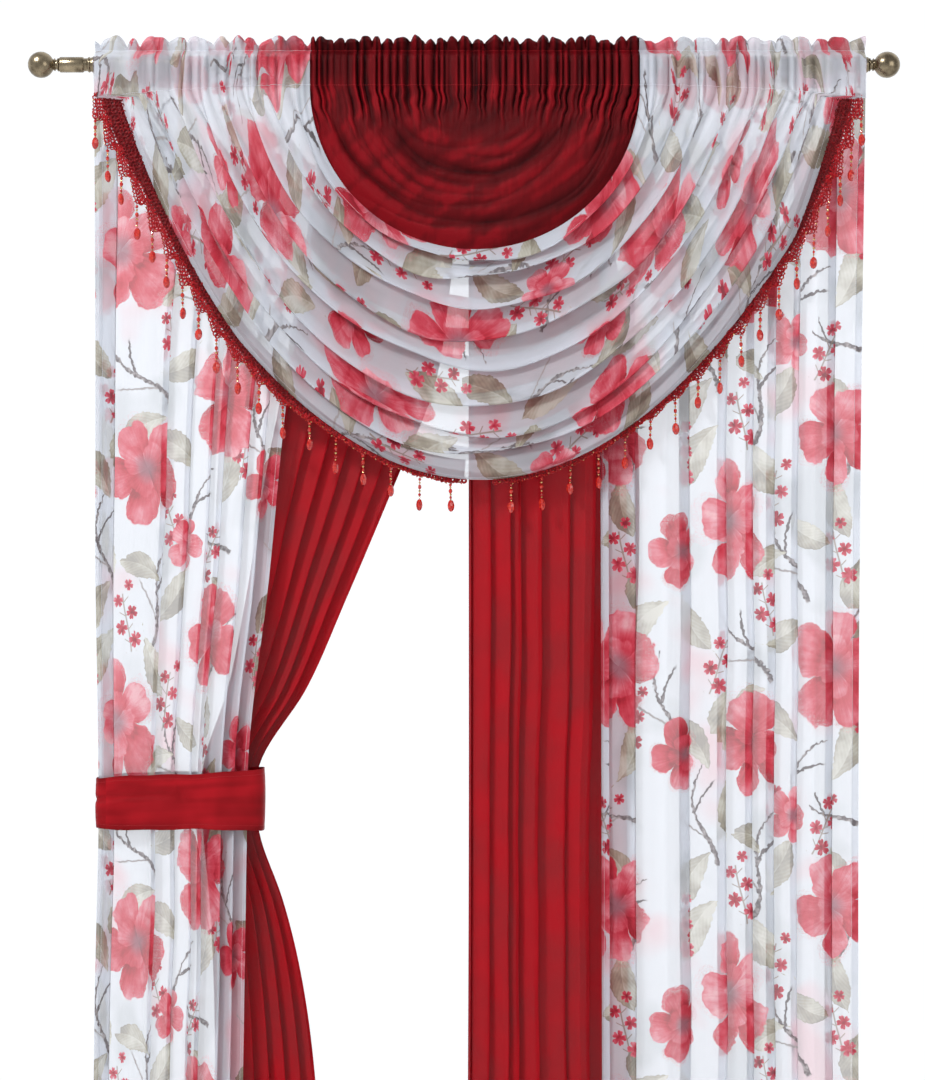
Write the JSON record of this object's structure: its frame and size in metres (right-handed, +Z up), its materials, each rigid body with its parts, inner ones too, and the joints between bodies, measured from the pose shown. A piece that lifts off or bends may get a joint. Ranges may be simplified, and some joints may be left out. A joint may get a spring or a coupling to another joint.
{
  "type": "sheer curtain panels and swag valance on a curtain rod",
  "caption": "Full-length printed and red sheer panels hung by rod pockets, one side tied back, under a draped swag valance with a red scoop and beaded trim, on a rod with ball finials.",
  "frame": {"origin": "on the rod's axis, halfway between its finials, where the wall brackets' line is", "axes": "+X along the rod to the viewer's right, +Z up, and the front faces -Y"},
  "size_m": [1.4364, 0.0941, 2.1428],
  "materials": {
    "antique_metal": "antique pewter brass, polished",
    "printed_voile": "sheer white voile with a floral print",
    "red_voile": "sheer dark red voile",
    "red_crochet": "crochet tape with glass and gold beads"
  },
  "bodies": {
    "root": {"rod": "antique_metal", "finial_left": "antique_metal", "finial_right": "antique_metal", "floral_panel_left": "printed_voile", "floral_panel_right": "printed_voile", "red_panel_left": "red_voile", "red_panel_right": "red_voile", "valance": "printed_voile", "valance_scoop": "red_voile", "tie_band": "red_voile", "trim_left": "red_crochet", "trim_right": "red_crochet"}
  },
  "joints": []
}
